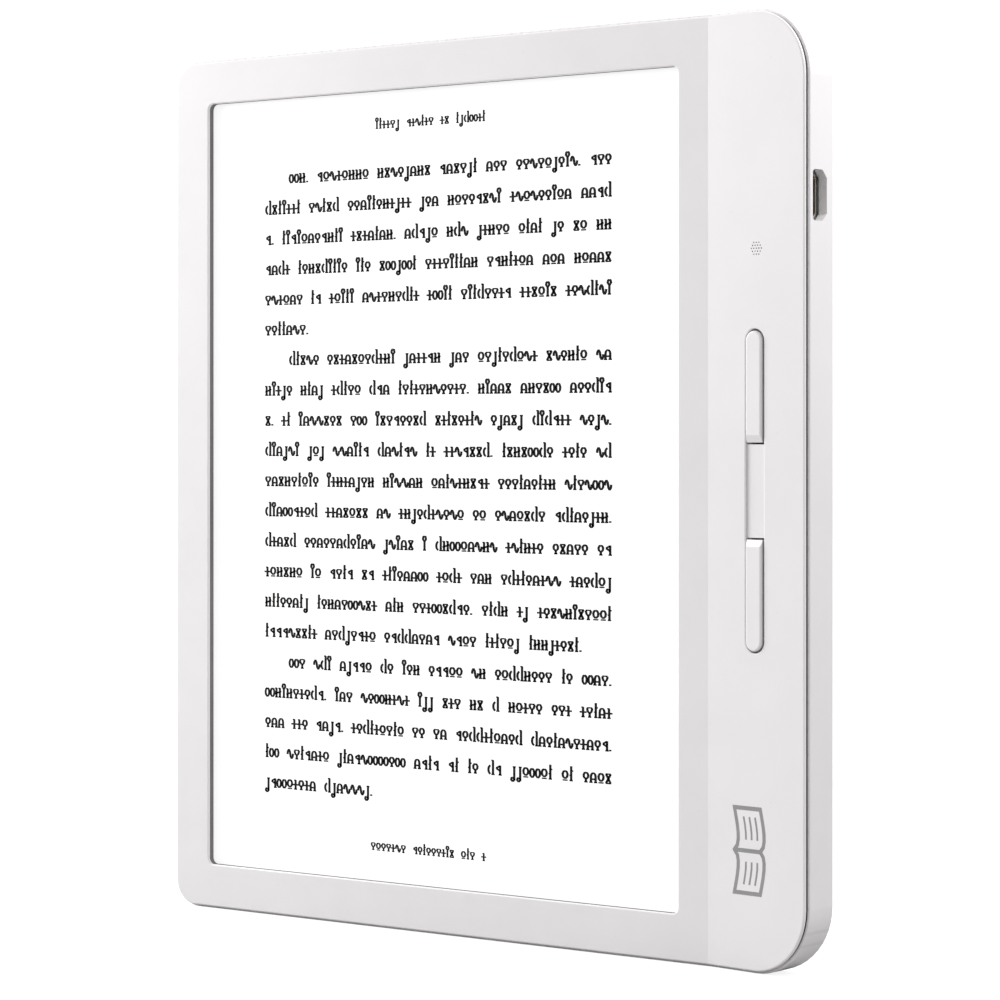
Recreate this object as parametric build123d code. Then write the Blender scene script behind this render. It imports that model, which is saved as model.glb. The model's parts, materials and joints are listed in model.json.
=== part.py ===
"""E-reader with an off-centre grip: a folded front bezel over a rear tray, a paper-like
display stack in the screen part, and the electronics and page buttons in the grip.

Frame, in millimetres: +Z is up, +X is towards the grip, and the display faces -Y.
The origin is the centre of the box that encloses the reader, at its bottom edge.
"""
import os
from math import atan, cos, degrees, hypot, sin, sqrt, tan

from build123d import *

# Overall sizes
width = 144.0
height = 159.0
screen_depth = 5.2
grip_width = 21.4
grip_rise = 2.8
left_corner_radius = 5.0
right_corner_radius = 11.5

# Rear cover
wall = 1.0
rear_wall = 0.8
back_edge_radius = 0.4
rim_edge_radius = 0.2
rim_setback = 1.0

# Front bezel
bezel_thickness = 0.9
bezel_inset = 0.45
bezel_edge_radius = 0.3
bezel_undercut = 0.45
skirt_gap = 0.1
skirt_thickness = 0.7
skirt_depth = 3.0
window_left = 8.6
window_to_fold = 6.2
window_ends = 8.3
window_corner_radius = 1.2
window_edge_radius = 0.25
window_wall = 0.9
display_recess = 1.45

# Display stack, from front to back
gasket_height = 1.0
gasket_width = 1.2
touch_thickness = 0.15
guide_thickness = 0.35
panel_thickness = 0.6
tape_thickness = 0.05
tape_width = 3.0
touch_margin = 2.6
touch_side_margin = 3.5
guide_margin = 2.3
panel_side_margin = 3.0
panel_top_margin = 2.4
panel_bottom_margin = 5.0

# Front light
light_count = 9
light_width = 2.4
light_height = 0.8
light_thickness = 0.25
light_flex_width = 1.5
light_gap = 0.1

# Flexible circuits
flex_thickness = 0.1
tail_height = 6.0
light_tail_z = 14.0
touch_tail_below_middle = 15.5
display_tail_z = 6.5
tail_in_connector = 1.0
tail_bend_gap = 0.5
light_leg_width = 1.2
light_leg_gap = 0.2
display_flex_lap = 18.0
driver_length = 11.0
driver_height = 1.6
driver_thickness = 0.4
driver_from_edge = 4.0

# Midframe
midframe_thickness = 0.4
midframe_edge_gap = 0.3
window_clearance = 1.0
lightening_holes = 5
lightening_hole_height = 14.0
lightening_hole_margin = 4.0
lightening_from_ends = 39.5
tail_notch_gap = 1.0

# Battery
battery_width = 64.0
battery_from_top = 37.0
battery_left = 22.0
battery_bottom = 20.0
battery_air_gap = 0.1
battery_tape_thickness = 0.15
battery_edge_radius = 0.5
cell_board_height = 4.0
cell_board_thickness = 0.8
cell_board_gap = 0.3
wire_diameter = 0.7
wire_pitch = 1.1
wire_count = 3
battery_tape_strip = 12.0
battery_tape_inset = 8.0

# Main board
board_thickness = 0.7
board_back_space = 1.3
board_fold_gap = 1.4
board_edge_gap = 1.4
board_end_gap = 8.0
connector_length = 4.0
connector_height = 0.7
connector_from_edge = 1.0
connector_end = 1.0
can_gap = 0.15
can_sheet = 0.12
can_edge_radius = 0.2
can_left_gap = 1.6
can_right_gap = 1.2
can_from_bottom = 16.0
can_height = 24.0

# Chips on the board: place from its lower left corner (x, z), width, height, thickness
processor_size = (3.0, 17.0, 11.0, 11.0, 0.9)
memory_size = (3.5, 29.2, 10.0, 9.6, 0.8)
storage_size = (3.0, 42.0, 11.5, 13.0, 0.9)
power_manager_size = (4.0, 57.0, 7.0, 7.0, 0.8)
display_power_size = (6.0, 7.5, 6.0, 6.0, 0.8)
motion_sensor_size = (6.0, 20.0, 2.0, 2.0, 0.8)

# Fasteners
screw_diameter = 1.4
screw_head_diameter = 2.4
screw_head_height = 0.35
screw_length = 2.2
screw_clearance = 0.1
thread_clearance = 0.02
boss_diameter = 3.2
screw_edge_gap = 0.4
side_screws = 3
side_screw_from_end = 30.0
top_screw_x = (-35.0, 10.0)
bracket_screw_length = 1.8
bracket_head_height = 0.3
drive_diameter = 0.9
drive_depth = 0.23
board_screw_inset = 2.5
upper_left_screw_from_top = 48.5
upper_right_screw_from_top = 43.0

# Page buttons
slot_width = 4.0
slot_length = 53.4
slot_centre_from_right = 11.2
slot_edge_radius = 0.25
bridge_length = 15.4
bridge_drop = 0.4
bridge_gap = 0.05
button_gap = 0.3
button_rise = 0.4
button_edge_radius = 0.35
facet_length = 1.2
flange_gap = 0.1
flange_thickness = 0.4
flange_overhang = 0.5
button_travel = 0.35
pivot_diameter = 0.7
pivot_clearance = 0.03
pivot_depth = 1.3
barrel_diameter = 1.3
barrel_side_gap = 0.35
ear_thickness = 0.9
ear_gap = 0.15
switch_from_pivot = 11.0
post_diameter = 2.0
post_length = 0.25
ear_overhang = 0.3
facet_drop = 0.05
plunger_gap = 0.05
plunger_diameter = 1.4
plunger_length = 0.4
switch_size = 3.0
switch_height = 0.4
plunger_show = 0.2
switch_board_thickness = 0.3
switch_board_width = 6.4
switch_board_length = 46.0
bracket_thickness = 0.3
button_flex_width = 3.0
button_flex_depth = 2.6
bracket_reach = 8.0

# Power button
power_diameter = 8.6
power_hole_gap = 0.15
power_flange_diameter = 10.2
power_flange_thickness = 0.35
power_travel = 0.3
power_recess = 0.2
power_from_right = 11.0
power_from_top = 51.0

# Charging port
port_height = 8.4
port_width = 4.2
port_from_top = 31.15
port_centre_y = -0.1
port_depth = 1.6
port_chamfer = 1.3
port_round = 0.7
shell_height = 7.6
shell_width = 2.5
shell_length = 5.0
shell_wall = 0.25
shell_chamfer = 0.9
seal_thickness = 0.9
seal_width = 0.35
tongue_thickness = 0.6
tongue_height = 5.4
contact_count = 5
contact_pitch = 0.95

# Status light
light_hole_diameter = 0.25
light_hole_pitch = 0.56
light_field_radius = 1.35
status_from_right = 10.8
status_above_slot = 13.25
pipe_diameter = 3.4

# Snap lugs that hold the bezel to the rear cover
lug_length = 6.0
lug_height = 0.5
lug_reach = 0.4
lug_clearance = 0.08
side_lug_from_end = 35.0
end_lug_x = (-45.0, -15.0, 15.0, 40.0)

# Places worked out from the sizes above
back_y = (screen_depth + grip_rise) / 2
front_y = back_y - screen_depth
cavity_y = back_y - rear_wall
fold_x = width / 2 - grip_width
grip_angle = atan(grip_rise / grip_width)
middle_z = height / 2

window_x0 = -width / 2 + window_left
window_x1 = fold_x - window_to_fold
window_z0 = window_ends
window_z1 = height - window_ends

touch_y = front_y + display_recess
guide_y = touch_y + touch_thickness
panel_y = guide_y + guide_thickness
panel_back_y = panel_y + panel_thickness
midframe_y = panel_back_y + tape_thickness
midframe_back_y = midframe_y + midframe_thickness

board_back_y = cavity_y - board_back_space
board_y = board_back_y - board_thickness
battery_height = height - battery_bottom - battery_from_top
board_x0 = fold_x + board_fold_gap
board_x1 = width / 2 - wall - board_edge_gap
board_z0 = board_end_gap
board_z1 = height - board_end_gap
connector_x1 = board_x0 + connector_from_edge + connector_length

slot_x = width / 2 - slot_centre_from_right
slot_u = (slot_x - fold_x) / cos(grip_angle)
bridge_half = bridge_length / 2
pivot_v = bridge_half + button_gap + barrel_diameter / 2 + 0.35
button_end_v = slot_length / 2 - button_gap
button_swing = button_travel / (button_end_v - pivot_v)
flange_out = -bezel_thickness - flange_gap
flange_in = flange_out - flange_thickness
cap_in = -bezel_thickness + button_gap / 2
post_in = flange_in - post_length
plunger_out = post_in - plunger_gap
switch_out = plunger_out - plunger_show
switch_in = switch_out - switch_height
switch_board_in = switch_in - switch_board_thickness
bracket_in = switch_board_in - bracket_thickness
bracket_half = switch_board_length / 2 + bracket_reach

port_x = width / 2 - port_depth
port_z = height - port_from_top
power_x = width / 2 - power_from_right
power_z = height - power_from_top
status_x = width / 2 - status_from_right
status_z = middle_z + slot_length / 2 + status_above_slot

touch_tail_z = middle_z - touch_tail_below_middle
tail_y = board_y - connector_height / 2 - flex_thickness / 2
display_tail_y = board_back_y + connector_height / 2 - flex_thickness / 2
wire_y = board_back_y + connector_height / 2 + 0.1
connector_x0 = board_x0 + connector_from_edge
barrel_half = slot_width / 2 - button_gap - barrel_side_gap
ear_out = barrel_half + ear_gap + ear_thickness

far = 2 * (width + height)

# Local frame of the sloped grip: x across it, y up, z out of the surface
GRIP = Plane(
    origin=(fold_x, front_y, middle_z),
    x_dir=(cos(grip_angle), -sin(grip_angle), 0),
    z_dir=(-sin(grip_angle), -cos(grip_angle), 0),
)


# Shapes that several pieces share

def block(x0, x1, y0, y1, z0, z1):
    """A box between two corners."""
    corner = (Align.MIN, Align.MIN, Align.MIN)
    return Pos(x0, y0, z0) * Box(x1 - x0, y1 - y0, z1 - z0, align=corner)


def facing(sketch, y0, y1):
    """A sketch in (x, z), made solid from y0 back to y1."""
    return extrude(Plane.XZ.offset(-y1) * sketch, y1 - y0)


def plate(x0, x1, z0, z1, y0, y1, radius=0.0):
    """A flat plate parallel to the display, with rounded corners."""
    sketch = Rectangle(x1 - x0, z1 - z0)
    if radius:
        sketch = fillet(sketch.vertices(), radius)
    return facing(Pos((x0 + x1) / 2, (z0 + z1) / 2) * sketch, y0, y1)


def peg(x, z, y0, y1, diameter):
    """A round peg along Y."""
    return facing(Pos(x, z) * Circle(diameter / 2), y0, y1)


def grip_block(u0, u1, v0, v1, n0, n1):
    """A box in the grip's frame; v is measured from the middle of the height."""
    corner = (Align.MIN, Align.MIN, Align.MIN)
    return GRIP * Pos(u0, v0, n0) * Box(u1 - u0, v1 - v0, n1 - n0, align=corner)


def grip_solid(sketch, n0, n1):
    """A sketch in the grip's (u, v), made solid between two depths."""
    return GRIP * Pos(0, 0, n0) * extrude(sketch, n1 - n0)


def grip_rod(u0, u1, v, n, diameter):
    """A round rod across the grip."""
    rod = Cylinder(diameter / 2, u1 - u0, align=(Align.CENTER, Align.CENTER, Align.MIN))
    return GRIP * Pos(u0, v, n) * Rot(0, 90, 0) * rod


def outline(inset):
    """The reader's outline seen from the front, moved inwards by inset."""
    sketch = Rectangle(width - 2 * inset, height - 2 * inset)
    corners = sketch.vertices().sort_by(Axis.X)
    sketch = fillet(corners[:2], left_corner_radius - inset)
    corners = sketch.vertices().sort_by(Axis.X)
    sketch = fillet(corners[-2:], right_corner_radius - inset)
    return Pos(0, middle_z) * sketch


def behind_front(depth):
    """All the space that lies at least depth behind the folded front surface."""
    turn_x = fold_x + depth * tan(grip_angle / 2)
    turn_y = front_y + depth
    profile = Polyline(
        (-far, turn_y),
        (turn_x, turn_y),
        (turn_x + far * cos(grip_angle), turn_y - far * sin(grip_angle)),
        (turn_x + far * cos(grip_angle), far),
        (-far, far),
        close=True,
    )
    return Pos(0, 0, -far / 2) * extrude(make_face(profile), 2 * far)


def body_slab(depth, inset, y_back):
    """The reader's solid form from depth behind its front surface to y_back."""
    block_of_outline = facing(outline(inset), front_y - 3 * grip_rise, y_back)
    return block_of_outline & behind_front(depth)


def front_edges(solid, inset):
    """The outer edges of a solid's folded front surface."""
    return folded_edges(solid, inset, -1)


def folded_edges(solid, inset, way):
    """The outer edges of a solid's folded surface that faces forwards, or backwards for a way of 1."""
    faces = [f for f in solid.faces() if way * f.normal_at().Y > 0.9]
    limit = width / 2 - inset - 0.01
    seen = []
    for face in faces:
        for edge in face.outer_wire().edges():
            middle = edge @ 0.5
            on_fold = abs(middle.X - fold_x) < 0.5 and abs((edge @ 0).X - (edge @ 1).X) < 0.01
            if not on_fold and abs(middle.X) <= limit + 0.02:
                seen.append(edge)
    return seen


def slot_sketch(gap):
    """The page-button slot, with full-round ends, made smaller all round by gap."""
    shape = SlotOverall(slot_length - 2 * gap, slot_width - 2 * gap, rotation=90)
    return Pos(slot_u, 0) * shape


def ribbon(points, z0, z1):
    """A flexible circuit that follows points in (x, y), between two heights."""
    behind = [(x, y + flex_thickness) for x, y in reversed(points)]
    profile = make_face(Polyline(*points, *behind, close=True))
    return Pos(0, 0, z0) * extrude(profile, z1 - z0)


def spread(first, last, count):
    """Evenly spaced values from first to last."""
    return [first + (last - first) * i / (count - 1) for i in range(count)]


# Places that repeat

def midframe_screw_places():
    left_x = -width / 2 + wall + skirt_gap + skirt_thickness + screw_head_diameter / 2 + screw_edge_gap
    right_x = (window_x1 + touch_side_margin + board_x0) / 2
    top_z = height - wall - skirt_gap - skirt_thickness - screw_head_diameter / 2 - screw_edge_gap
    levels = spread(side_screw_from_end, height - side_screw_from_end, side_screws)
    sides = [(x, z) for x in (left_x, right_x) for z in levels]
    return sides + [(x, top_z) for x in top_screw_x]


def board_screw_places():
    left_x = board_x0 + screw_head_diameter
    right_x = board_x1 - screw_head_diameter
    return [
        (right_x, board_z0 + board_screw_inset),
        (left_x, height - upper_left_screw_from_top),
        (right_x, height - upper_right_screw_from_top),
        (left_x, board_z1 - board_screw_inset),
    ]


def snap_lugs(clearance):
    """Lugs on the bezel's skirt; with a clearance, the pockets that take them."""
    reach = wall + skirt_gap + 0.1
    y0 = front_y + skirt_depth - lug_height - clearance
    y1 = front_y + skirt_depth + clearance
    half = lug_length / 2 + clearance
    out = lug_reach + clearance
    lugs = []
    for z in spread(side_lug_from_end, height - side_lug_from_end, 3):
        lugs.append(block(-width / 2 + wall - out, -width / 2 + reach, y0, y1, z - half, z + half))
    for x in end_lug_x:
        lugs.append(block(x - half, x + half, y0, y1, wall - out, reach))
        lugs.append(block(x - half, x + half, y0, y1, height - reach, height - wall + out))
    return lugs


def port_sketch(high, wide, chamfer_size, round_size):
    """The port's outline in (y, z): rounded towards the front, chamfered behind."""
    sketch = Rectangle(wide, high)
    corners = sketch.vertices().sort_by(Axis.X)
    sketch = chamfer(corners[-2:], chamfer_size)
    corners = sketch.vertices().sort_by(Axis.X)
    sketch = fillet(corners[:2], round_size)
    return Pos(port_centre_y, port_z) * sketch


def sideways(sketch, x0, x1):
    """A sketch in (y, z), made solid from x0 to x1."""
    return extrude(Plane.YZ.offset(x0) * sketch, x1 - x0)


# Casing

def front_bezel():
    slab = body_slab(0, bezel_inset, cavity_y) - behind_front(bezel_thickness)
    slab = fillet(front_edges(slab, bezel_inset), bezel_edge_radius)
    slab = chamfer(folded_edges(slab, bezel_inset, 1), bezel_undercut)
    skirt_out = wall + skirt_gap
    skirt_in = skirt_out + skirt_thickness
    skirt = body_slab(bezel_thickness, skirt_out, front_y + skirt_depth)
    skirt -= facing(outline(skirt_in), front_y - 3 * grip_rise, back_y)
    frame = plate(
        window_x0 - gasket_width - window_wall,
        window_x1 + gasket_width + window_wall,
        window_z0 - gasket_width - window_wall,
        window_z1 + gasket_width + window_wall,
        front_y + bezel_thickness,
        touch_y - skirt_gap,
        window_corner_radius + window_wall,
    )
    bezel = slab + skirt + frame - gasket_room()
    for lug in snap_lugs(0):
        bezel += lug
    for side in (-1, 1):
        place = Pos(slot_u, side * (bracket_half - boss_diameter / 2)) * Circle(boss_diameter / 2)
        bezel += grip_solid(place, switch_board_in, -bezel_thickness)
    window = plate(window_x0, window_x1, window_z0, window_z1, front_y - 1, back_y, window_corner_radius)
    bezel -= window
    bezel -= grip_solid(slot_sketch(0), -2 * bezel_thickness, grip_rise)
    for side in (-1, 1):
        place = Pos(slot_u, side * (bracket_half - boss_diameter / 2))
        hole = place * Circle(screw_diameter / 2 + thread_clearance)
        bezel -= grip_solid(hole, switch_board_in, -bezel_thickness - 0.1)
    bezel -= port_boss(skirt_gap, seal_thickness)
    return round_openings(bezel) - light_holes()


def round_openings(bezel):
    """Softens the visible edges of the display window, then of the page-button slot."""
    window_edges = []
    for edge in bezel.edges():
        middle = edge @ 0.5
        in_window = window_x0 - 0.1 < middle.X < window_x1 + 0.1
        if in_window and abs(middle.Y - front_y) < 0.01 and window_z0 - 0.1 < middle.Z < window_z1 + 0.1:
            window_edges.append(edge)
    bezel = fillet(window_edges, window_edge_radius)
    return round_slot(bezel)


def round_slot(bezel):
    """Softens the edge of the page-button slot."""
    edges = []
    for edge in bezel.edges():
        local = GRIP.to_local_coords(edge @ 0.5)
        if abs(local.X - slot_u) < slot_width and abs(local.Y) < slot_length / 2 + 0.1:
            if abs(local.Z) < 0.01:
                edges.append(edge)
    return fillet(edges, slot_edge_radius)


def light_holes():
    """The dot pattern of fine holes over the status light."""
    rows = int(light_field_radius / (light_hole_pitch * sqrt(3) / 2)) + 1
    centre_u = (status_x - fold_x) / cos(grip_angle)
    holes = Sketch()
    for row in range(-rows, rows + 1):
        for column in range(-rows, rows + 1):
            x = (column + 0.5 * (row % 2)) * light_hole_pitch
            y = row * light_hole_pitch * sqrt(3) / 2
            if hypot(x, y) <= light_field_radius - light_hole_diameter / 2:
                dot = Circle(light_hole_diameter / 2)
                holes += Pos(centre_u + x, status_z - middle_z + y) * dot
    return grip_solid(holes, -bezel_thickness - 0.5, 0.5)


def port_boss(clearance, reach=0.0):
    """The thick part of the rear cover's wall around the charging port, or room for it."""
    half_z = port_height / 2 + 1.3 + clearance
    return block(
        port_x - clearance - reach,
        width / 2 - wall + clearance / 10,
        port_centre_y - port_width / 2 - 0.6 - clearance,
        cavity_y + 0.1,
        port_z - half_z,
        port_z + half_z,
    )


def rear_cover():
    shell = body_slab(rim_setback, 0, back_y)
    back_edges = shell.edges().filter_by_position(Axis.Y, back_y - 0.01, back_y + 0.01)
    shell = fillet(back_edges, back_edge_radius)
    shell = fillet(front_edges(shell, 0), rim_edge_radius)
    shell -= facing(outline(wall), front_y - 3 * grip_rise, cavity_y)
    shell += port_boss(0)
    for x, z in midframe_screw_places():
        shell += peg(x, z, midframe_back_y, cavity_y, boss_diameter)
    for x, z in board_screw_places():
        shell += peg(x, z, board_back_y, cavity_y, boss_diameter)
    bore = screw_diameter + 2 * thread_clearance
    for x, z in midframe_screw_places():
        shell -= peg(x, z, midframe_back_y, midframe_y + screw_length + 0.1, bore)
    for x, z in board_screw_places():
        shell -= peg(x, z, board_back_y, board_y + screw_length + 0.1, bore)
    for pocket in snap_lugs(lug_clearance):
        shell -= pocket
    mouth = port_sketch(port_height, port_width, port_chamfer, port_round)
    shell -= sideways(mouth, port_x - 1, width / 2 + 1)
    hole = power_diameter + 2 * power_hole_gap
    return shell - peg(power_x, power_z, cavity_y - 1, back_y + 1, hole)


def perimeter_seal():
    outer = bezel_inset + 0.1
    seal = body_slab(bezel_thickness, outer, back_y) - behind_front(rim_setback)
    return seal - facing(outline(wall - 0.02), front_y - 3 * grip_rise, back_y)


# Display stack

def gasket_room():
    """The space that the gasket fills behind the bezel's lip, window and all."""
    return plate(
        window_x0 - gasket_width, window_x1 + gasket_width,
        window_z0 - gasket_width, window_z1 + gasket_width,
        touch_y - gasket_height, touch_y, window_corner_radius + gasket_width,
    )


def display_gasket():
    hole = plate(window_x0, window_x1, window_z0, window_z1, front_y, back_y, window_corner_radius)
    return gasket_room() - hole


def touch_panel():
    return plate(
        window_x0 - touch_margin, window_x1 + touch_side_margin,
        window_z0 - touch_margin, window_z1 + touch_margin,
        touch_y, guide_y, 1.0,
    )


def light_guide_plate():
    return plate(
        window_x0 - guide_margin, window_x1 + guide_margin,
        window_z0 - guide_margin, window_z1 + guide_margin,
        guide_y, panel_y, 0.5,
    )


def e_paper_panel():
    return plate(
        window_x0 - panel_side_margin, window_x1 + panel_side_margin,
        window_z0 - panel_bottom_margin, window_z1 + panel_top_margin,
        panel_y, panel_back_y, 0.5,
    )


def display_tape():
    x0 = window_x0 - panel_side_margin + 0.3
    x1 = window_x1 + panel_side_margin - 0.3
    z0 = window_z0 + 14
    z1 = window_z1 + panel_top_margin - 0.3
    left = plate(x0, x0 + tape_width, z0, z1, panel_back_y, midframe_y)
    right = plate(x1 - tape_width, x1, z0, z1, panel_back_y, midframe_y)
    top = plate(x0 + tape_width + 1, x1 - tape_width - 1, z1 - tape_width, z1, panel_back_y, midframe_y)
    return Compound([left.solid(), right.solid(), top.solid()])


def light_places():
    half_step = (window_x1 - window_x0) / (2 * light_count)
    first = window_x0 + half_step
    last = window_x1 - half_step
    return spread(first, last, light_count)


def front_light_leds():
    top = window_z0 - guide_margin - light_gap
    y0 = panel_y - flex_thickness - light_thickness
    y1 = panel_y - flex_thickness
    lights = []
    for x in light_places():
        led = block(x - light_width / 2, x + light_width / 2, y0, y1, top - light_height, top)
        lights.append(led.solid())
    return Compound(lights)


def front_light_flex():
    top = window_z0 - guide_margin - light_gap
    y0 = panel_y - flex_thickness
    leg_x0 = window_x1 + guide_margin + light_leg_gap
    leg_x1 = leg_x0 + light_leg_width
    strip = block(window_x0, leg_x1, y0, panel_y, top - light_flex_width, top)
    leg = block(leg_x0, leg_x1, y0, panel_y, top - light_flex_width, light_tail_z + tail_height)
    return strip + leg + ribbon(light_tail(leg_x1), light_tail_z, light_tail_z + tail_height)


def light_tail(start_x):
    return [
        (start_x - 0.2, panel_y - flex_thickness),
        (start_x, panel_y - flex_thickness),
        (board_x0 - tail_bend_gap, tail_y),
        (connector_x1 - tail_in_connector, tail_y),
    ]


def touch_flex():
    start_x = window_x1 + guide_margin + light_leg_gap
    points = [
        (start_x, guide_y),
        (window_x1 + touch_side_margin + 0.3, guide_y),
        (board_x0 - tail_bend_gap, tail_y),
        (connector_x1 - tail_in_connector, tail_y),
    ]
    return ribbon(points, touch_tail_z, touch_tail_z + tail_height)


def display_flex():
    edge_x = window_x1 + panel_side_margin
    points = [
        (edge_x - display_flex_lap, panel_back_y),
        (edge_x + 0.3, panel_back_y),
        (board_x0 - 0.3, display_tail_y),
        (connector_x1 - tail_in_connector, display_tail_y),
    ]
    return ribbon(points, display_tail_z, display_tail_z + tail_height)


def display_driver():
    edge_x = window_x1 + panel_side_margin
    y0 = panel_back_y + flex_thickness
    z0 = display_tail_z + (tail_height - driver_height) / 2
    x1 = edge_x - driver_from_edge
    return block(x1 - driver_length, x1, y0, y0 + driver_thickness, z0, z0 + driver_height)


# Midframe

def midframe():
    gap = wall + skirt_gap + skirt_thickness + midframe_edge_gap
    x0 = -width / 2 + gap
    x1 = board_x0 - 0.4
    frame = plate(x0, x1, gap, height - gap, midframe_y, midframe_back_y, left_corner_radius - gap)
    bx0 = -width / 2 + battery_left - window_clearance
    bx1 = bx0 + battery_width + 2 * window_clearance
    bz1 = battery_bottom + battery_height + cell_board_gap + cell_board_height + window_clearance
    frame -= plate(bx0, bx1, battery_bottom - window_clearance, bz1, front_y, back_y, 2.0)
    edge_x = window_x1 + panel_side_margin
    notch_x = edge_x - display_flex_lap - 2 * tail_notch_gap
    frame -= block(notch_x, far, front_y, back_y, 0, display_tail_z + tail_height + tail_notch_gap)
    for z0 in (touch_tail_z, light_tail_z):
        z1 = z0 + tail_height + tail_notch_gap
        frame -= block(edge_x - tail_notch_gap, far, front_y, back_y, z0 - tail_notch_gap, z1)
    half = lightening_hole_height / 2
    x0 = bx1 + lightening_hole_margin
    x1 = window_x1 - lightening_hole_margin
    for z in spread(lightening_from_ends, height - lightening_from_ends, lightening_holes):
        frame -= plate(x0, x1, z - half, z + half, front_y, back_y, 2.0)
    for x, z in midframe_screw_places():
        frame -= peg(x, z, front_y, back_y, screw_diameter + 2 * screw_clearance)
    return frame


def screw(x, z, seat_y):
    head = peg(x, z, seat_y - screw_head_height, seat_y, screw_head_diameter)
    head = fillet(head.edges().group_by(Axis.Y)[0], 0.12)
    drive = peg(x, z, seat_y - screw_head_height, seat_y - screw_head_height + drive_depth, drive_diameter)
    shank = peg(x, z, seat_y, seat_y + screw_length, screw_diameter)
    return (head - drive + shank).solid()


def midframe_screws():
    return Compound([screw(x, z, midframe_y) for x, z in midframe_screw_places()])


# Battery

def battery_edges():
    x0 = -width / 2 + battery_left
    y0 = panel_back_y + battery_air_gap
    return x0, x0 + battery_width, y0, cavity_y - battery_tape_thickness


def battery_pouch():
    x0, x1, y0, y1 = battery_edges()
    pouch = plate(x0, x1, battery_bottom, battery_bottom + battery_height, y0, y1, 2.0)
    rims = pouch.edges().filter_by_position(Axis.Y, y0 - 0.01, y0 + 0.01)
    rims += pouch.edges().filter_by_position(Axis.Y, y1 - 0.01, y1 + 0.01)
    return fillet(rims, battery_edge_radius)


def battery_tape():
    x0, x1, _, y1 = battery_edges()
    strips = []
    for centre in (x0 + battery_width / 4, x1 - battery_width / 4):
        strip = block(
            centre - battery_tape_strip / 2, centre + battery_tape_strip / 2, y1, cavity_y,
            battery_bottom + battery_tape_inset, battery_bottom + battery_height - battery_tape_inset,
        )
        strips.append(strip.solid())
    return Compound(strips)


def cell_board_edges():
    x0, x1, y0, _ = battery_edges()
    z0 = battery_bottom + battery_height + cell_board_gap
    y_mid = y0 + 0.9
    return x0 + 4, x1, y_mid - cell_board_thickness / 2, y_mid + cell_board_thickness / 2, z0


def battery_board():
    x0, x1, y0, y1, z0 = cell_board_edges()
    board = block(x0, x1, y0, y1, z0, z0 + cell_board_height)
    chip = block(x1 - 20, x1 - 16, y0 - 0.3, y0, z0 + 0.8, z0 + 3.2)
    tab = block(x0 + 6, x0 + 12, y0, y1, z0 - cell_board_gap, z0)
    return board + chip + tab


def wire_places():
    *_, z0 = cell_board_edges()
    middle = z0 + cell_board_height / 2
    half = wire_pitch * (wire_count - 1) / 2
    return spread(middle - half, middle + half, wire_count)


def battery_wires():
    x1 = cell_board_edges()[1]
    wires = []
    for z in wire_places():
        pad = sideways(Pos(wire_y, z) * Circle(wire_diameter / 2), x1, connector_x0)
        wires.append(pad.solid())
    return Compound(wires)


def battery_plug():
    places = wire_places()
    z0 = places[0] - 1.0
    z1 = places[-1] + 1.0
    return block(
        connector_x0, connector_x1, board_back_y, board_back_y + connector_height + 0.3, z0, z1,
    )


# Main board

def main_board():
    board = plate(board_x0, board_x1, board_z0, board_z1, board_y, board_back_y, 1.0)
    for x, z in board_screw_places():
        board -= peg(x, z, front_y, back_y, screw_diameter + 2 * screw_clearance)
    return board


def board_screws():
    return Compound([screw(x, z, board_y) for x, z in board_screw_places()])


def front_chip(x, z, wide, high, thick):
    """A chip on the board's display side, placed from the board's lower left corner."""
    x0, z0 = board_x0 + x, board_z0 + z
    return block(x0, x0 + wide, board_y - thick, board_y, z0, z0 + high)


def back_chip(x, z, wide, high, thick):
    """A chip on the board's back, placed from the board's lower left corner."""
    x0, z0 = board_x0 + x, board_z0 + z
    return block(x0, x0 + wide, board_back_y, board_back_y + thick, z0, z0 + high)


def shield_can():
    x0, x1 = board_x0 + can_left_gap, board_x1 - can_right_gap
    z0 = board_z0 + can_from_bottom
    z1 = z0 + can_height
    y1 = cavity_y - can_gap
    can = block(x0, x1, board_back_y, y1, z0, z1)
    rims = can.edges().filter_by_position(Axis.Y, y1 - 0.01, y1 + 0.01)
    can = fillet(rims, can_edge_radius)
    sheet = can_sheet
    return can - block(x0 + sheet, x1 - sheet, board_back_y, y1 - sheet, z0 + sheet, z1 - sheet)


def wifi_module():
    return front_chip(1.2, status_z + pipe_diameter / 2 + 0.5 - board_z0, 10.5, 12.0, 1.2)


def antenna():
    return front_chip(5.0, board_z1 - board_z0 - 2.6, 9.0, 2.0, 0.8)


def hall_sensor():
    return front_chip(1.5, status_z - board_z0 - 3.5, 1.8, 2.6, 0.8)


def status_led():
    return block(status_x - 0.8, status_x + 0.8, board_y - 0.4, board_y, status_z - 0.6, status_z + 0.6)


def status_light_pipe():
    pipe = peg(status_x, status_z, front_y - 2 * grip_rise, board_y - 0.45, pipe_diameter)
    return pipe & behind_front(bezel_thickness + 0.02)


def plain_connector(z0, on_front):
    """A connector for a tail that starts at height z0, on either side of the board."""
    y0 = board_y - connector_height if on_front else board_back_y
    low, high = z0 - connector_end, z0 + tail_height + connector_end
    return block(connector_x0, connector_x1, y0, y0 + connector_height, low, high)


def touch_connector():
    return plain_connector(touch_tail_z, True) - touch_flex()


def front_light_connector():
    return plain_connector(light_tail_z, True) - front_light_flex()


def display_connector():
    return plain_connector(display_tail_z, False) - display_flex()


# Charging port

def usb_shell():
    outer = port_sketch(shell_height, shell_width, shell_chamfer, 0.35)
    inner_chamfer = shell_chamfer - shell_wall * (2 - sqrt(2))
    inner = port_sketch(
        shell_height - 2 * shell_wall, shell_width - 2 * shell_wall, inner_chamfer, 0.12,
    )
    shell = sideways(outer, port_x - shell_length, port_x)
    return shell - sideways(inner, port_x - shell_length + shell_wall, port_x + 1)


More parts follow.
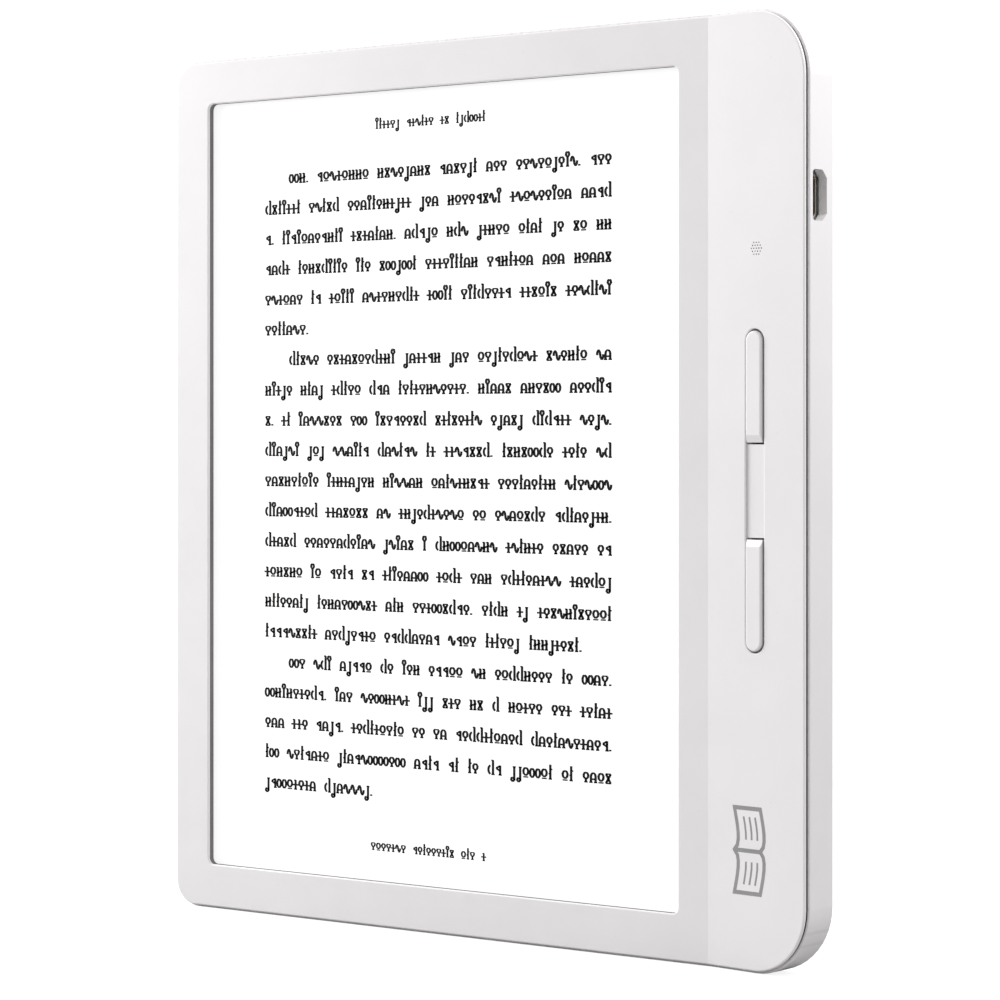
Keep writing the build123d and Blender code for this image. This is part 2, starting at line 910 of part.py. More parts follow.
def usb_tongue():
    back = port_x - shell_length + shell_wall
    y_mid = port_centre_y - 0.25
    half_z = tongue_height / 2
    return block(
        back, port_x - 0.7, y_mid - tongue_thickness / 2, y_mid + tongue_thickness / 2,
        port_z - half_z, port_z + half_z,
    )


def usb_contacts():
    y0 = port_centre_y - 0.25 + tongue_thickness / 2
    back = port_x - shell_length + shell_wall
    strips = []
    for i in range(contact_count):
        z = port_z + (i - (contact_count - 1) / 2) * contact_pitch
        strips.append(block(back, port_x - 1.0, y0, y0 + 0.12, z - 0.2, z + 0.2).solid())
    return Compound(strips)


def usb_seal():
    chamfer_size = shell_chamfer + seal_width / 2
    outer = port_sketch(
        shell_height + 2 * seal_width + 0.6, shell_width + 2 * seal_width + 0.6, chamfer_size, 0.6,
    )
    seal = sideways(outer, port_x - seal_thickness, port_x - 0.05)
    inner = port_sketch(shell_height, shell_width, shell_chamfer, 0.35)
    seal -= sideways(inner, port_x - 2, port_x + 2)
    return seal & block(0, width, front_y - grip_rise, board_y, 0, height)


# Page buttons

def turned(side, solid):
    """The upper button's piece as made, or mirrored across the middle for the lower."""
    if side > 0:
        return solid
    return mirror(solid, about=Plane(origin=(0, 0, middle_z), z_dir=(0, 0, 1)))


def page_button(side):
    start_v = bridge_half + button_gap
    kept = Pos(slot_u, start_v + far / 2) * Rectangle(far, far)
    cap = grip_solid(slot_sketch(button_gap) & kept, cap_in, button_rise)
    top_edges = []
    for edge in cap.edges():
        local = GRIP.to_local_coords(edge @ 0.5)
        if abs(local.Z - button_rise) < 0.01 and local.Y > start_v + 0.1:
            top_edges.append(edge)
    cap = fillet(top_edges, button_edge_radius)
    facet = Polyline(
        (start_v - 1, -facet_drop - button_rise / facet_length),
        (start_v, -facet_drop),
        (start_v + facet_length, button_rise + 0.001),
        (start_v + facet_length, 2 * button_rise),
        (start_v - 1, 2 * button_rise),
        close=True,
    )
    wedge = extrude(Plane.YZ.offset(-slot_width) * make_face(facet), 2 * slot_width)
    cap -= GRIP * Pos(slot_u, 0, 0) * wedge
    half = slot_width / 2 + flange_overhang
    ear_end = pivot_v + barrel_diameter / 2 + 0.6
    flange = grip_block(
        slot_u - half, slot_u + half, ear_end, button_end_v + flange_overhang, flange_in, flange_out,
    )
    web = grip_block(
        slot_u - barrel_half, slot_u + barrel_half, pivot_v, ear_end, flange_in, flange_out,
    )
    web += grip_block(
        slot_u - barrel_half, slot_u + barrel_half, start_v + 0.3,
        button_end_v - slot_width / 2, flange_out, cap_in,
    )
    barrel = grip_rod(slot_u - barrel_half, slot_u + barrel_half, pivot_v, -pivot_depth, barrel_diameter)
    post = grip_solid(
        Pos(slot_u, pivot_v + switch_from_pivot) * Circle(post_diameter / 2), post_in, flange_in,
    )
    button = cap + flange + web + barrel + post
    bore = pivot_diameter + 2 * pivot_clearance
    button -= grip_rod(slot_u - slot_width, slot_u + slot_width, pivot_v, -pivot_depth, bore)
    return turned(side, button)


def button_bridge():
    wide = slot_width / 2 - bridge_gap
    block_in = -bezel_thickness
    bridge = grip_block(slot_u - wide, slot_u + wide, -bridge_half, bridge_half, block_in, -bridge_drop)
    base_v = bridge_half - 0.3
    bridge += grip_block(slot_u - ear_out, slot_u + ear_out, -base_v, base_v, -1.6, block_in)
    for side in (-1, 1):
        for u0 in (slot_u - ear_out, slot_u + ear_out - ear_thickness):
            v0, v1 = base_v - 1, pivot_v + barrel_diameter / 2 + ear_overhang
            ear = grip_block(u0, u0 + ear_thickness, v0, v1, -pivot_depth - 0.7, block_in)
            bridge += turned(side, ear)
        bore = grip_rod(slot_u - ear_out, slot_u + ear_out, pivot_v, -pivot_depth, pivot_diameter)
        bridge -= turned(side, bore)
    return bridge


def pivot_pins():
    pins = []
    for side in (-1, 1):
        pin = grip_rod(slot_u - ear_out, slot_u + ear_out, pivot_v, -pivot_depth, pivot_diameter)
        pins.append(turned(side, pin).solid())
    return Compound(pins)


def switch_place():
    return Pos(slot_u, pivot_v + switch_from_pivot)


def page_switch_base(side):
    base = grip_solid(switch_place() * Rectangle(switch_size, switch_size), switch_in, switch_out)
    bore = switch_place() * Circle(plunger_diameter / 2 + 0.03)
    base -= grip_solid(bore, switch_in + 0.05, switch_out + 0.1)
    return turned(side, base)


def page_switch_plunger(side):
    shape = switch_place() * Circle(plunger_diameter / 2)
    plunger = grip_solid(shape, plunger_out - plunger_length + 0.15, plunger_out)
    return turned(side, plunger)


def switch_board():
    half = switch_board_width / 2
    reach = switch_board_length / 2
    return grip_block(slot_u - half, slot_u + half, -reach, reach, switch_board_in, switch_in)


def switch_bracket():
    half = switch_board_width / 2 - 0.4
    plate_solid = grip_block(
        slot_u - half, slot_u + half, -bracket_half, bracket_half, bracket_in, switch_board_in,
    )
    for side in (-1, 1):
        place = Pos(slot_u, side * (bracket_half - boss_diameter / 2))
        hole = place * Circle(screw_diameter / 2 + screw_clearance)
        plate_solid -= grip_solid(hole, bracket_in - 1, switch_board_in + 1)
    return plate_solid


def bracket_screws():
    screws = []
    for side in (-1, 1):
        place = Pos(slot_u, side * (bracket_half - boss_diameter / 2))
        head_out = bracket_in - bracket_head_height
        head = grip_solid(place * Circle(screw_head_diameter / 2), head_out, bracket_in)
        shank = grip_solid(place * Circle(screw_diameter / 2), bracket_in, bracket_in + bracket_screw_length)
        drive = grip_solid(place * Circle(drive_diameter / 2), head_out - 0.1, head_out + 0.2)
        screws.append((head + shank - drive).solid())
    return Compound(screws)


def button_flex():
    edge_u = slot_u - switch_board_width / 2
    front_n = switch_in + flex_thickness
    low_n = -button_flex_depth
    profile = Polyline(
        (edge_u + 1.2, front_n),
        (edge_u - 0.4, front_n),
        (edge_u - 1.6, low_n + flex_thickness),
        (edge_u - 4.0, low_n + flex_thickness),
        (edge_u - 4.0, low_n),
        (edge_u - 1.6, low_n),
        (edge_u - 0.4, switch_in),
        (edge_u + 1.2, switch_in),
        close=True,
    )
    v0 = -switch_board_length / 2 + 1.0
    strip = Pos(0, v0 + button_flex_width, 0) * extrude(Plane.XZ * make_face(profile), button_flex_width)
    return GRIP * strip


def button_connector():
    x1 = fold_x + (slot_u - switch_board_width / 2 - 2.2) * cos(grip_angle)
    z0 = middle_z - switch_board_length / 2 + 1.0
    body = block(x1 - 3.0, x1, board_y - 0.8, board_y, z0 - 0.5, z0 + button_flex_width + 0.5)
    return body - button_flex()


# Power button

def power_button():
    out_y = back_y - power_recess
    flange_y = cavity_y - flange_gap
    cap = peg(power_x, power_z, flange_y, out_y, power_diameter)
    cap = fillet(cap.edges().group_by(Axis.Y)[-1], 0.2)
    flange = peg(
        power_x, power_z, flange_y - power_flange_thickness, flange_y, power_flange_diameter,
    )
    return cap + flange


def power_switch_levels():
    touch = cavity_y - flange_gap - power_flange_thickness - plunger_gap
    return touch - power_travel, touch


def power_switch_base():
    top, _ = power_switch_levels()
    base = back_chip(power_x - board_x0 - 2, power_z - board_z0 - 2, 4, 4, top - board_back_y - 0.02)
    return base - peg(power_x, power_z, board_back_y + 0.1, back_y, plunger_diameter + 0.06)


def power_switch_plunger():
    _, top = power_switch_levels()
    return peg(power_x, power_z, top - power_travel - plunger_gap, top, plunger_diameter)


PARTS = {
    "front_bezel": front_bezel,
    "rear_cover": rear_cover,
    "perimeter_seal": perimeter_seal,
    "display_gasket": display_gasket,
    "touch_panel": touch_panel,
    "touch_flex": touch_flex,
    "touch_connector": touch_connector,
    "light_guide_plate": light_guide_plate,
    "front_light_leds": front_light_leds,
    "front_light_flex": front_light_flex,
    "front_light_connector": front_light_connector,
    "e_paper_panel": e_paper_panel,
    "display_tape": display_tape,
    "display_flex": display_flex,
    "display_driver": display_driver,
    "display_connector": display_connector,
    "midframe": midframe,
    "midframe_screws": midframe_screws,
    "battery_pouch": battery_pouch,
    "battery_tape": battery_tape,
    "battery_board": battery_board,
    "battery_wires": battery_wires,
    "battery_plug": battery_plug,
    "main_board": main_board,
    "board_screws": board_screws,
    "shield_can": shield_can,
    "processor": lambda: back_chip(*processor_size),
    "memory_chip": lambda: back_chip(*memory_size),
    "storage_chip": lambda: back_chip(*storage_size),
    "power_manager": lambda: back_chip(*power_manager_size),
    "display_power_chip": lambda: back_chip(*display_power_size),
    "wifi_module": wifi_module,
    "antenna": antenna,
    "hall_sensor": hall_sensor,
    "motion_sensor": lambda: front_chip(*motion_sensor_size),
    "status_led": status_led,
    "status_light_pipe": status_light_pipe,
    "usb_shell": usb_shell,
    "usb_tongue": usb_tongue,
    "usb_contacts": usb_contacts,
    "usb_seal": usb_seal,
    "page_button_upper": lambda: page_button(1),
    "page_button_lower": lambda: page_button(-1),
    "button_bridge": button_bridge,
    "pivot_pins": pivot_pins,
    "page_switch_base_upper": lambda: page_switch_base(1),
    "page_switch_base_lower": lambda: page_switch_base(-1),
    "page_switch_plunger_upper": lambda: page_switch_plunger(1),
    "page_switch_plunger_lower": lambda: page_switch_plunger(-1),
    "switch_board": switch_board,
    "switch_bracket": switch_bracket,
    "bracket_screws": bracket_screws,
    "button_flex": button_flex,
    "button_connector": button_connector,
    "power_button": power_button,
    "power_switch_base": power_switch_base,
    "power_switch_plunger": power_switch_plunger,
}

os.makedirs("parts", exist_ok=True)
for name, make in PARTS.items():
    export_step(make(), f"parts/{name}.step")

pivot = GRIP.from_local_coords(Vector(slot_u, pivot_v, -pivot_depth))
print("grip angle", round(degrees(grip_angle), 3), "deg")
print("upper pivot", round(pivot.X, 4), round(pivot.Y, 4), round(pivot.Z, 4))
print("button swing", round(degrees(button_swing), 3), "deg")
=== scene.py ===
"""Looks of the e-reader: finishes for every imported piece, the page on the display,
the mark printed on the grip, and a plain studio.

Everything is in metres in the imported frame: +Z up, +X towards the grip, -Y the way
the display faces.
"""
import json
import math
import random

import bmesh
import bpy
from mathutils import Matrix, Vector

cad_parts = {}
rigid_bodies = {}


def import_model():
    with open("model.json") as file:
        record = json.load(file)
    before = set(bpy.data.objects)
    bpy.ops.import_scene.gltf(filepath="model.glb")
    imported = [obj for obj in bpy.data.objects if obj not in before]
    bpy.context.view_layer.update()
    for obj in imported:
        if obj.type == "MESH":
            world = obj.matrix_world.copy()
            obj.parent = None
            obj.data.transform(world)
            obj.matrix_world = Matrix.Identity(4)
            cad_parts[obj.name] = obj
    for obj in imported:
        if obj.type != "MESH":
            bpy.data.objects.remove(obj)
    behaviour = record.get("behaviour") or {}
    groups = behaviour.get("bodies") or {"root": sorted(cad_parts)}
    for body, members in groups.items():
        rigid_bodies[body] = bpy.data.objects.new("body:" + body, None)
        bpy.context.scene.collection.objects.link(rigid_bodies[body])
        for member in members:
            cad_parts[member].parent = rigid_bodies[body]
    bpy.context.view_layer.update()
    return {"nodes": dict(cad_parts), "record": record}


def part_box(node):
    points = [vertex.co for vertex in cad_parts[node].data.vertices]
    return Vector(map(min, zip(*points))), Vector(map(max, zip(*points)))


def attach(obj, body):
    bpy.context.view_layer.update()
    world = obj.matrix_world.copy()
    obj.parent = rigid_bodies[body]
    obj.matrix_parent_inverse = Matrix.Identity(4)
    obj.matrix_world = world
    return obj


MM = 0.001

# Page layout
page_left_margin = 13.05 * MM
page_right_margin = 14.8 * MM
page_first_baseline = 15.6 * MM
page_line_pitch = 5.58 * MM
page_indent = 5.95 * MM
page_x_height = 1.72 * MM
page_glyph_width = 1.16
page_word_gap = 1.9 * MM
page_stop_share = 0.1
page_line_tries = 24
page_paragraphs = ((6, 0.12), (10, 0.91), (5, 0.32))
page_header = (-0.4 * MM, 6.7 * MM, 25.4 * MM)
page_footer = (-0.9 * MM, 5.5 * MM, 26.3 * MM)
page_note_scale = 0.77
page_seed = 21
page_glow = 0.72
ink_gap = 0.002 * MM
ink_height = 0.010 * MM

# Display window, measured in from the gasket that lines it
gasket_width = 1.2 * MM

# Mark printed on the grip
mark_x = 59.7 * MM
mark_z = 20.2 * MM
mark_length = 14.0 * MM
mark_width = 6.6 * MM
mark_line = 0.7 * MM
mark_rule = 0.38 * MM
mark_height = 0.008 * MM
mark_spine_share = 0.9
mark_lift = 0.001 * MM

# Camera
camera_place = (0.3751, -0.4671, 0.0889)
camera_turn = 38.36
camera_lens = 122.4
camera_shift = -0.066

# Studio: the key light is far to the left, and a weak one is above the port's side
sky_light = 0.742
sky_seen = 1.1
floor_seen = 0.85
floor_size = 4.0
floor_tones = ((0.40, 0.40, 0.40), (0.43, 0.43, 0.43))
key_place = (-0.60, -0.20, 0.30)
key_target = (0.0, 0.0, 0.09)
key_size = 0.3
key_power = 3.97
right_place = (0.20, 0.05, 0.28)
right_target = (0.07, 0.0, 0.10)
right_size = 0.12
right_power = 0.353

# Colours of the case and the ink
shell_white = (0.882, 0.858, 0.868)
page_ink_colour = (0.008, 0.008, 0.009)
mark_ink_colour = (0.33, 0.325, 0.325)
speck_colour = (0.35, 0.33, 0.31)

# Wear of moulded pieces, and the shade painted into their gaps, which fades out towards the floor
edge_share = 0.25
edge_lift = 1.06
speck_share = 0.10
gap_reach = 0.7 * MM
gap_shade = 0.12
gap_fade = (0.6 * MM, 1.6 * MM)

# Pen of the page's type, in shares of the x-height
pen_thick = 0.27
pen_thin = 0.15
serif_foot = 0.19
serif_head = (0.2, 0.06)
serif_rise = 0.025
dot_half = 0.09

# Letters in a word, and how often each number of them comes up
word_letters = (1, 2, 3, 4, 5, 6, 7, 8, 9, 10, 11)
word_shares = (4, 12, 12, 9, 11, 11, 12, 10, 8, 6, 4)

# Open book of the mark, in shares of its length and width
book_top = 0.36
book_bow = 0.13
book_points = (0.0, 0.12, 0.26, 0.42, 0.6, 0.8, 1.0)
book_rules = (0.3, 0.52, 0.74)


# ---------------------------------------------------------------- node helpers

def put(tree, kind, inputs=None, **settings):
    """A new node, with its settings, and each input linked or set."""
    node = tree.nodes.new(kind)
    for key, value in settings.items():
        setattr(node, key, value)
    for key, value in (inputs or {}).items():
        if isinstance(value, bpy.types.NodeSocket):
            tree.links.new(value, node.inputs[key])
        else:
            node.inputs[key].default_value = value
    return node


def math_node(tree, operation, a, b=0.0, clamp=False):
    """The result socket of one Math node."""
    return put(tree, "ShaderNodeMath", {0: a, 1: b}, operation=operation, use_clamp=clamp).outputs[0]


def remap(tree, value, low, high, to_low=0.0, to_high=1.0):
    """value moved smoothly from one range to another."""
    inputs = {"Value": value, "From Min": low, "From Max": high, "To Min": to_low, "To Max": to_high}
    return put(tree, "ShaderNodeMapRange", inputs, interpolation_type="SMOOTHSTEP").outputs["Result"]


def mix_colour(tree, factor, a, b):
    """Colour a turning into colour b as factor goes from 0 to 1."""
    node = put(tree, "ShaderNodeMix", {"Factor": factor}, data_type="RGBA")
    for socket, value in ((node.inputs[6], a), (node.inputs[7], b)):
        if isinstance(value, bpy.types.NodeSocket):
            tree.links.new(value, socket)
        else:
            socket.default_value = (*value, 1.0)
    return node.outputs[2]


def noise(tree, vector, scale, detail=3.0, roughness=0.55):
    """A noise texture's value."""
    inputs = {"Vector": vector, "Scale": scale, "Detail": detail, "Roughness": roughness}
    return put(tree, "ShaderNodeTexNoise", inputs).outputs["Fac"]


def mix_height(tree, height, detail, share):
    """A height with a share of a finer one added to it."""
    return math_node(tree, "ADD", height, math_node(tree, "MULTIPLY", detail, share))


def new_group(name, inputs, outputs):
    """An empty shader node group with float or vector inputs and float outputs."""
    tree = bpy.data.node_groups.new(name, "ShaderNodeTree")
    for label, default in inputs.items():
        kind = "NodeSocketVector" if default is None else "NodeSocketFloat"
        socket = tree.interface.new_socket(label, in_out="INPUT", socket_type=kind)
        if default is not None:
            socket.default_value = default
    for label in outputs:
        tree.interface.new_socket(label, in_out="OUTPUT", socket_type="NodeSocketFloat")
    return tree, tree.nodes.new("NodeGroupInput").outputs, tree.nodes.new("NodeGroupOutput").inputs


def use_group(tree, group, **inputs):
    """A group node in a material; underscores in the input names stand for spaces."""
    node = tree.nodes.new("ShaderNodeGroup")
    node.node_tree = group
    for key, value in inputs.items():
        socket = node.inputs[key.replace("_", " ").capitalize()]
        if isinstance(value, bpy.types.NodeSocket):
            tree.links.new(value, socket)
        else:
            socket.default_value = value
    return node.outputs


# ---------------------------------------------------------------- shared effects

def moulded_grain_group():
    """Spark-eroded mould texture: fine grain with pits, broad tone and handling marks."""
    tree, given, result = new_group(
        "moulded_grain", {"Vector": None, "Grain size": 0.12 * MM}, ("Height", "Tone", "Smudge"))
    scale = math_node(tree, "DIVIDE", 1.0, given["Grain size"])
    fine = noise(tree, given["Vector"], scale, 2.0)
    cells = put(tree, "ShaderNodeTexVoronoi", {"Vector": given["Vector"], "Scale": scale})
    pits = remap(tree, cells.outputs["Distance"], 0.1, 0.7)
    height = mix_height(tree, math_node(tree, "MULTIPLY", fine, 0.65), pits, 0.35)
    tree.links.new(height, result["Height"])
    tree.links.new(remap(tree, noise(tree, given["Vector"], 55.0, 4.0), 0.3, 0.7), result["Tone"])
    tree.links.new(remap(tree, noise(tree, given["Vector"], 210.0, 6.0, 0.65), 0.35, 0.75), result["Smudge"])
    return tree


def edge_wear_group():
    """1 along sharp edges, broken up by noise, and 0 on flat stretches."""
    tree, given, result = new_group(
        "edge_wear", {"Vector": None, "Radius": 0.3 * MM, "Strength": 3.0}, ("Edge",))
    rounded = put(tree, "ShaderNodeBevel", {"Radius": given["Radius"]}, samples=4).outputs["Normal"]
    flat = tree.nodes.new("ShaderNodeNewGeometry").outputs["Normal"]
    dot_product = put(tree, "ShaderNodeVectorMath", {0: rounded, 1: flat}, operation="DOT_PRODUCT")
    facing = dot_product.outputs["Value"]
    turn = math_node(tree, "MULTIPLY", math_node(tree, "SUBTRACT", 1.0, facing), given["Strength"])
    broken = remap(tree, noise(tree, given["Vector"], 900.0, 4.0), 0.35, 0.65, 0.35, 1.0)
    tree.links.new(math_node(tree, "MULTIPLY", turn, broken, clamp=True), result["Edge"])
    return tree


def painted_gap_shade_group():
    """Painted shade from ambient occlusion: 1 deep in narrow gaps and inner corners, and 0 on open surfaces
    and at the floor.
    """
    tree, given, result = new_group("crevice", {"Vector": None, "Distance": gap_reach}, ("Shade",))
    open_share = put(tree, "ShaderNodeAmbientOcclusion", {"Distance": given["Distance"]}, samples=4)
    height = put(tree, "ShaderNodeSeparateXYZ", {"Vector": given["Vector"]}).outputs["Z"]
    above_floor = remap(tree, height, *gap_fade)
    shade = remap(tree, open_share.outputs["AO"], 0.1, 0.6, 1.0, 0.0)
    tree.links.new(math_node(tree, "MULTIPLY", shade, above_floor), result["Shade"])
    return tree


def dust_group():
    """Sparse small specks."""
    tree, given, result = new_group(
        "dust", {"Vector": None, "Scale": 900.0, "Amount": 0.08}, ("Speck",))
    cells = put(tree, "ShaderNodeTexVoronoi", {"Vector": given["Vector"], "Scale": given["Scale"]})
    near = remap(tree, cells.outputs["Distance"], 0.0, 0.22, 1.0, 0.0)
    chosen = put(tree, "ShaderNodeSeparateColor", {"Color": cells.outputs["Color"]}).outputs["Red"]
    kept = math_node(tree, "LESS_THAN", chosen, given["Amount"])
    tree.links.new(math_node(tree, "MULTIPLY", near, kept), result["Speck"])
    return tree


def brushed_group():
    """Long fine scratches along X, or along Z where Along is 1."""
    tree, given, result = new_group(
        "brushed", {"Vector": None, "Along": 0.0, "Width": 0.08 * MM}, ("Height", "Tone"))
    parts = put(tree, "ShaderNodeSeparateXYZ", {"Vector": given["Vector"]}).outputs
    shrink_x = remap(tree, given["Along"], 0.0, 1.0, 0.03, 1.0)
    shrink_z = remap(tree, given["Along"], 0.0, 1.0, 1.0, 0.03)
    inputs = {"X": math_node(tree, "MULTIPLY", parts["X"], shrink_x), "Y": parts["Y"],
              "Z": math_node(tree, "MULTIPLY", parts["Z"], shrink_z)}
    stretched = put(tree, "ShaderNodeCombineXYZ", inputs).outputs["Vector"]
    lines = noise(tree, stretched, math_node(tree, "DIVIDE", 1.0, given["Width"]), 4.0, 0.6)
    tree.links.new(lines, result["Height"])
    tree.links.new(remap(tree, noise(tree, given["Vector"], 130.0, 5.0), 0.3, 0.7), result["Tone"])
    return tree


def dot_field_group():
    """Round dimples in staggered rows across X and Z: 1 in a dimple, 0 between them."""
    tree, given, result = new_group(
        "dot_field", {"Vector": None, "Pitch": 2.1 * MM, "Radius": 0.42 * MM}, ("Dimple",))
    parts = put(tree, "ShaderNodeSeparateXYZ", {"Vector": given["Vector"]}).outputs
    row = math_node(tree, "DIVIDE", parts["Z"], given["Pitch"])
    odd_row = math_node(tree, "PINGPONG", math_node(tree, "FLOOR", row), 1.0)
    stagger = math_node(tree, "MULTIPLY", odd_row, 0.5)
    column = math_node(tree, "ADD", math_node(tree, "DIVIDE", parts["X"], given["Pitch"]), stagger)
    across = math_node(tree, "SUBTRACT", math_node(tree, "FRACT", column), 0.5)
    up = math_node(tree, "SUBTRACT", math_node(tree, "FRACT", row), 0.5)
    across_square = math_node(tree, "MULTIPLY", across, across)
    square = math_node(tree, "ADD", across_square, math_node(tree, "MULTIPLY", up, up))
    distance = math_node(tree, "MULTIPLY", math_node(tree, "SQRT", square), given["Pitch"])
    share = math_node(tree, "DIVIDE", distance, given["Radius"])
    tree.links.new(remap(tree, share, 0.7, 1.1, 1.0, 0.0), result["Dimple"])
    return tree


def crinkle_group():
    """Soft creases of a thin foil or tape."""
    tree, given, result = new_group(
        "crinkle", {"Vector": None, "Size": 6 * MM}, ("Height", "Tone"))
    scale = math_node(tree, "DIVIDE", 1.0, given["Size"])
    bend = put(tree, "ShaderNodeTexNoise", {"Vector": given["Vector"], "Scale": scale, "Detail": 2.0})
    inputs = {0: bend.outputs["Color"], "Scale": 4 * MM}
    shift = put(tree, "ShaderNodeVectorMath", inputs, operation="SCALE").outputs["Vector"]
    moved = put(tree, "ShaderNodeVectorMath", {0: given["Vector"], 1: shift}, operation="ADD")
    cells = put(tree, "ShaderNodeTexVoronoi", {"Vector": moved.outputs["Vector"], "Scale": scale},
                feature="DISTANCE_TO_EDGE")
    crease = remap(tree, cells.outputs["Distance"], 0.0, 0.12)
    tree.links.new(crease, result["Height"])
    tree.links.new(remap(tree, noise(tree, given["Vector"], 300.0, 5.0), 0.3, 0.7), result["Tone"])
    return tree


# ---------------------------------------------------------------- finishes

def start_material(name):
    """A new material with a Principled shader: its tree, shader and object coordinates."""
    material = bpy.data.materials.new(name)
    material.use_nodes = True
    tree = material.node_tree
    shader = tree.nodes["Principled BSDF"]
    return material, tree, shader, tree.nodes.new("ShaderNodeTexCoord").outputs["Object"]


def bump(tree, shader, height, depth):
    """Height in 0 to 1, standing depth metres proud, as the shader's normal."""
    node = put(tree, "ShaderNodeBump", {"Height": height, "Distance": depth, "Strength": 1.0})
    tree.links.new(node.outputs["Normal"], shader.inputs["Normal"])


def scaled(colour, factor):
    """A lighter or darker shade of a colour."""
    return tuple(min(1.0, channel * factor) for channel in colour)


def layer(tree, body, mask, share, colour):
    """A colour laid over the body where a mask is 1, as strongly as its share."""
    return mix_colour(tree, math_node(tree, "MULTIPLY", mask, share), body, colour)


def vary_gloss(tree, shader, value, low, high):
    """Roughness that runs from low to high as a value in 0 to 1 does."""
    tree.links.new(remap(tree, value, 0.0, 1.0, low, high), shader.inputs["Roughness"])


def moulded(name, colour, roughness, grain=0.12 * MM, depth=0.004 * MM, contrast=0.02,
            crevice=0.75, specular=0.5, dots=None):
    """Moulded plastic or rubber: grain, tone, handling marks, worn edges and specks, with painted shade in
    the grain's pits, in dimples and in gaps.
    """
    material, tree, shader, place = start_material(name)
    texture = use_group(tree, groups["grain"], vector=place, grain_size=grain)
    edge = use_group(tree, groups["edge"], vector=place, strength=3.0)["Edge"]
    speck = use_group(tree, groups["dust"], vector=place, scale=700.0, amount=0.035)["Speck"]
    body = mix_colour(tree, texture["Tone"], scaled(colour, 1 - contrast), scaled(colour, 1 + contrast))
    # Painted shade: the grain's low pits are painted darker.
    pits = remap(tree, texture["Height"], 0.25, 0.6, 1.0, 0.0)
    body = layer(tree, body, pits, 2.5 * contrast, scaled(colour, 0.55))
    body = layer(tree, body, edge, edge_share, scaled(colour, edge_lift))
    body = layer(tree, body, speck, speck_share, speck_colour)
    # Painted shade: narrow gaps and inner corners, found by ambient occlusion, are painted darker.
    shade = use_group(tree, groups["crevice"], vector=place, distance=gap_reach)["Shade"]
    body = layer(tree, body, shade, crevice, scaled(colour, gap_shade))
    height = texture["Height"]
    if dots:
        pitch, radius = dots
        dimple = use_group(tree, groups["dots"], vector=place, pitch=pitch, radius=radius)["Dimple"]
        # Painted shade: each dimple is painted darker.
        body = layer(tree, body, dimple, 0.16, scaled(colour, 0.6))
        height = math_node(tree, "SUBTRACT", math_node(tree, "MULTIPLY", height, 0.3), dimple)
    tree.links.new(body, shader.inputs["Base Color"])
    gloss = remap(tree, texture["Smudge"], 0.0, 1.0, roughness - 0.05, roughness + 0.07)
    shine = math_node(tree, "MULTIPLY", edge, 0.1 * edge_share)
    polished = math_node(tree, "SUBTRACT", gloss, shine, clamp=True)
    tree.links.new(polished, shader.inputs["Roughness"])
    shader.inputs["Specular IOR Level"].default_value = specular
    bump(tree, shader, height, depth * (6 if dots else 1))
    return material


def metal(name, colour, roughness, width=0.08 * MM, along=0.0, depth=0.003 * MM):
    """Rolled, plated or cast metal: fine lines, uneven tone and bright edges."""
    material, tree, shader, place = start_material(name)
    texture = use_group(tree, groups["brushed"], vector=place, along=along, width=width)
    edge = use_group(tree, groups["edge"], vector=place, radius=0.2 * MM, strength=4.0)["Edge"]
    body = mix_colour(tree, texture["Tone"], scaled(colour, 0.86), scaled(colour, 1.06))
    body = layer(tree, body, texture["Height"], 0.25, scaled(colour, 0.7))
    body = layer(tree, body, edge, 0.6, scaled(colour, 1.25))
    tree.links.new(body, shader.inputs["Base Color"])
    gloss = remap(tree, texture["Height"], 0.2, 0.8, roughness - 0.08, roughness + 0.1)
    tree.links.new(gloss, shader.inputs["Roughness"])
    shader.inputs["Metallic"].default_value = 1.0
    bump(tree, shader, texture["Height"], depth)
    return material


def creased(name, colour, roughness, size, metallic=0.0, depth=0.03 * MM):
    """Thin foil, tape or film laid over something: creases, uneven tone and a worn edge."""
    material, tree, shader, place = start_material(name)
    texture = use_group(tree, groups["crinkle"], vector=place, size=size)
    grain = use_group(tree, groups["grain"], vector=place, grain_size=0.2 * MM)
    edge = use_group(tree, groups["edge"], vector=place, strength=3.0)["Edge"]
    body = mix_colour(tree, texture["Tone"], scaled(colour, 0.88), scaled(colour, 1.08))
    body = layer(tree, body, edge, 0.4, scaled(colour, 1.3))
    tree.links.new(body, shader.inputs["Base Color"])
    vary_gloss(tree, shader, grain["Smudge"], roughness - 0.06, roughness + 0.1)
    shader.inputs["Metallic"].default_value = metallic
    bump(tree, shader, mix_height(tree, texture["Height"], grain["Height"], 0.15), depth)
    return material


def board(name, mask, copper):
    """Circuit board: solder mask over copper runs, with a fine weave beneath it."""
    material, tree, shader, place = start_material(name)
    upright = (math.pi / 2, 0.0, 0.0)
    turned = put(tree, "ShaderNodeMapping", {"Vector": place, "Rotation": upright}).outputs[0]
    inputs = {"Vector": turned, "Scale": 420.0, "Mortar Size": 0.045, "Brick Width": 1.7, "Row Height": 0.42}
    runs = put(tree, "ShaderNodeTexBrick", inputs).outputs["Fac"]
    inputs = {"Vector": place, "Scale": 900.0, "Distortion": 0.4}
    weave = put(tree, "ShaderNodeTexWave", inputs).outputs["Fac"]
    texture = use_group(tree, groups["grain"], vector=place, grain_size=0.09 * MM)
    edge = use_group(tree, groups["edge"], vector=place, strength=4.0)["Edge"]
    body = mix_colour(tree, texture["Tone"], scaled(mask, 0.85), scaled(mask, 1.15))
    body = layer(tree, body, runs, 0.55, copper)
    body = layer(tree, body, edge, 0.8, (0.42, 0.36, 0.2))
    tree.links.new(body, shader.inputs["Base Color"])
    vary_gloss(tree, shader, texture["Smudge"], 0.28, 0.44)
    bump(tree, shader, mix_height(tree, runs, weave, 0.2), 0.02 * MM)
    return material


